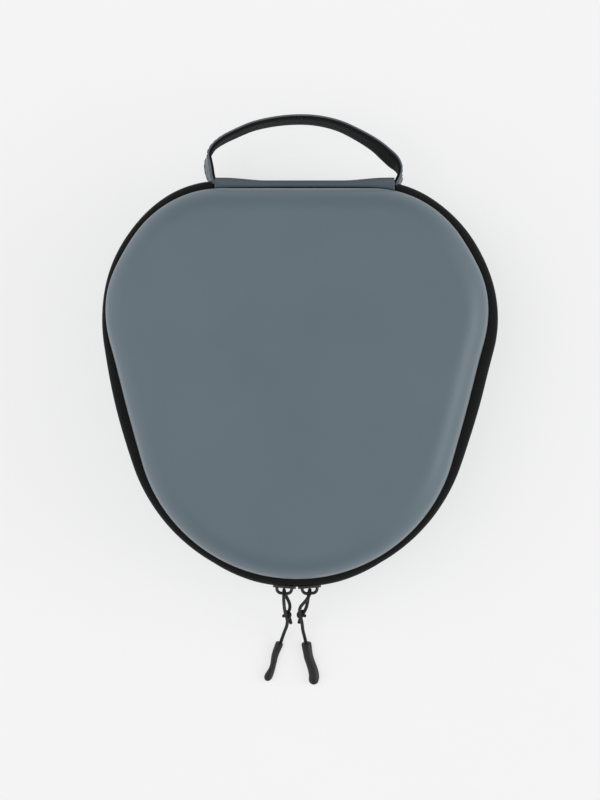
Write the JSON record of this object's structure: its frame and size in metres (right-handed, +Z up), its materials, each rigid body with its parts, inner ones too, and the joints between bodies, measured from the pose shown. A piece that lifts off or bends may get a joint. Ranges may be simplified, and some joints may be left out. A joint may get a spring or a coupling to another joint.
{
  "type": "headphone carrying case",
  "caption": "Hard-shell zip case for over-ear headphones, a rounded trapezoid in plan, with a fabric spine, a strap handle and corded zip pulls.",
  "frame": {"origin": "on the base's flat underside, at the middle of the shells' rim outline, which is symmetrical about X = 0", "axes": "+X across the case to the right, +Y from the zip pulls to the spine and handle, +Z up through the lid"},
  "size_m": [0.212, 0.3064, 0.074],
  "materials": {
    "shell_cover": "smooth coated fabric, satin, fine grain",
    "foam_core": "matte moulded foam",
    "lining": "brushed knit",
    "binding": "woven tape",
    "zip_tape": "fine woven tape",
    "zip_coil": "nylon coil",
    "spine_cover": "smooth coated fabric, satin, fine grain",
    "strap_cover": "smooth coated fabric, satin, fine grain",
    "strap_webbing": "ribbed webbing",
    "slider_metal": "semi-gloss black coat",
    "pull_cord": "twisted polyester cord",
    "pull_grip": "matte moulded rubber",
    "pocket_net": "fine net",
    "pocket_elastic": "ribbed elastic"
  },
  "bodies": {
    "base": {"base_cover": "shell_cover", "base_core": "foam_core", "base_lining": "lining", "base_binding": "binding", "zip_tape_lower": "zip_tape", "zip_flange_lower": "zip_tape", "zip_coil_lower": "zip_coil", "spine_tab_lower": "spine_cover"},
    "spine": {"spine_panel": "spine_cover", "spine_lining": "lining", "handle_end_left": "strap_webbing", "handle_end_right": "strap_webbing"},
    "lid": {"lid_cover": "shell_cover", "lid_core": "foam_core", "lid_lining": "lining", "lid_binding": "binding", "zip_tape_upper": "zip_tape", "zip_flange_upper": "zip_tape", "zip_coil_upper": "zip_coil", "spine_tab_upper": "spine_cover", "pocket_net": "pocket_net", "pocket_hem": "pocket_elastic"},
    "handle": {"handle_cover": "strap_cover", "handle_webbing": "strap_webbing"},
    "slider_left": {"slider_left": "slider_metal"},
    "slider_right": {"slider_right": "slider_metal"},
    "pull_left": {"pull_cord_left": "pull_cord", "pull_grip_left": "pull_grip"},
    "pull_right": {"pull_cord_right": "pull_cord", "pull_grip_right": "pull_grip"}
  },
  "joints": [
    {"name": "spine_fold", "type": "hinge", "parent": "base", "child": "spine", "pos_m": [0.0035, 0.10783, 0.032], "axis": [-1, 0, 0], "range_deg": [0, 90]},
    {"name": "lid_fold", "type": "hinge", "parent": "spine", "child": "lid", "pos_m": [0.0035, 0.10783, 0.042], "axis": [-1, 0, 0], "range_deg": [0, 90]},
    {"name": "handle_swing", "type": "hinge", "parent": "spine", "child": "handle", "pos_m": [0.0035, 0.11483, 0.037], "axis": [-1, 0, 0], "range_deg": [-75, 10]},
    {"name": "slider_left_travel", "type": "hinge", "parent": "base", "child": "slider_left", "pos_m": [0, -0.01561, 0.037], "axis": [0, 0, -1], "range_deg": [0, 65]},
    {"name": "slider_right_travel", "type": "hinge", "parent": "base", "child": "slider_right", "pos_m": [0, -0.01561, 0.037], "axis": [0, 0, 1], "range_deg": [0, 65]},
    {"name": "pull_left_swing", "type": "hinge", "parent": "slider_left", "child": "pull_left", "pos_m": [-0.00689, -0.11143, 0.037], "axis": [-0.9974, 0.0717, 0], "range_deg": [-35, 140]},
    {"name": "pull_right_swing", "type": "hinge", "parent": "slider_right", "child": "pull_right", "pos_m": [0.00689, -0.11143, 0.037], "axis": [-0.9974, -0.0717, 0], "range_deg": [-35, 140]}
  ],
  "couplings": [
    {"joint": "lid_fold", "follows": "spine_fold", "ratio": 1}
  ]
}
